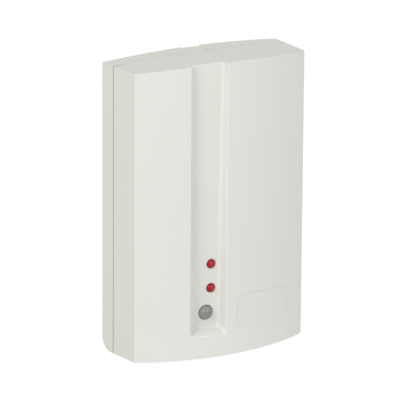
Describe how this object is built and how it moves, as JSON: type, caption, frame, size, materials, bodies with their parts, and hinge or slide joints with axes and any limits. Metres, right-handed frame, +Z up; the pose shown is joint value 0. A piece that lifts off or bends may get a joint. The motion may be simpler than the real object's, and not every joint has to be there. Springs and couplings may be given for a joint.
{
  "type": "wireless relay receiver",
  "caption": "Wall-mounted plastic box with a bowed front, a long groove with domed indicator lamps, and a two-relay radio board with screw terminals inside.",
  "frame": {"origin": "middle of the flat back face, in the plane of the wall", "axes": "+X to the right seen from the front, +Y into the wall, +Z up; the front faces -Y"},
  "size_m": [0.0614, 0.0239, 0.0919],
  "materials": {
    "housing_white": "moulded, fine satin grain",
    "board_green": "glass fibre laminate under green solder mask",
    "screw_steel": "zinc plated",
    "relay_case": "moulded, smooth",
    "shield_tin": "tin plated sheet",
    "wire_copper": "enamelled copper",
    "can_aluminium": "drawn can",
    "chip_black": "moulded epoxy",
    "terminal_grey": "moulded",
    "lens_red": "clear red epoxy",
    "lens_grey": "grey tinted epoxy",
    "switch_black": "moulded",
    "plunger_white": "moulded",
    "switch_button": "moulded",
    "pin_gold": "gold flashed",
    "cap_blue": "moulded"
  },
  "bodies": {
    "base": {"rear_base": "housing_white", "circuit_board": "board_green", "board_screws": "screw_steel", "relay_1": "relay_case", "relay_2": "relay_case", "radio_shield": "shield_tin", "crystal": "shield_tin", "antenna_wire": "wire_copper", "supply_capacitor": "can_aluminium", "voltage_regulator": "chip_black", "relay_diodes": "chip_black", "microcontroller": "chip_black", "driver_transistors": "chip_black", "chip_resistors": "chip_black", "supply_terminals": "terminal_grey", "relay_1_terminals": "terminal_grey", "relay_2_terminals": "terminal_grey", "tamper_terminals": "terminal_grey", "terminal_screws": "screw_steel", "terminal_clamps": "screw_steel", "relay_1_light": "lens_red", "relay_2_light": "lens_red", "status_light": "lens_grey", "tamper_switch": "switch_black", "learn_switch": "switch_black", "setting_pin_strip": "switch_black", "setting_pins": "pin_gold", "setting_caps": "cap_blue"},
    "cover": {"front_cover": "housing_white"},
    "tamper_plunger": {"tamper_plunger": "plunger_white"},
    "learn_button": {"learn_button": "switch_button"}
  },
  "joints": [
    {"name": "cover_slide", "type": "slide", "parent": "base", "child": "cover", "axis": [0, -1, 0], "range_m": [0, 0.03]},
    {"name": "tamper_press", "type": "slide", "parent": "base", "child": "tamper_plunger", "axis": [0, 1, 0], "range_m": [0, 0.0006], "stiffness_N_per_m": 400},
    {"name": "learn_press", "type": "slide", "parent": "base", "child": "learn_button", "axis": [0, 1, 0], "range_m": [0, 0.00025], "stiffness_N_per_m": 2000}
  ]
}
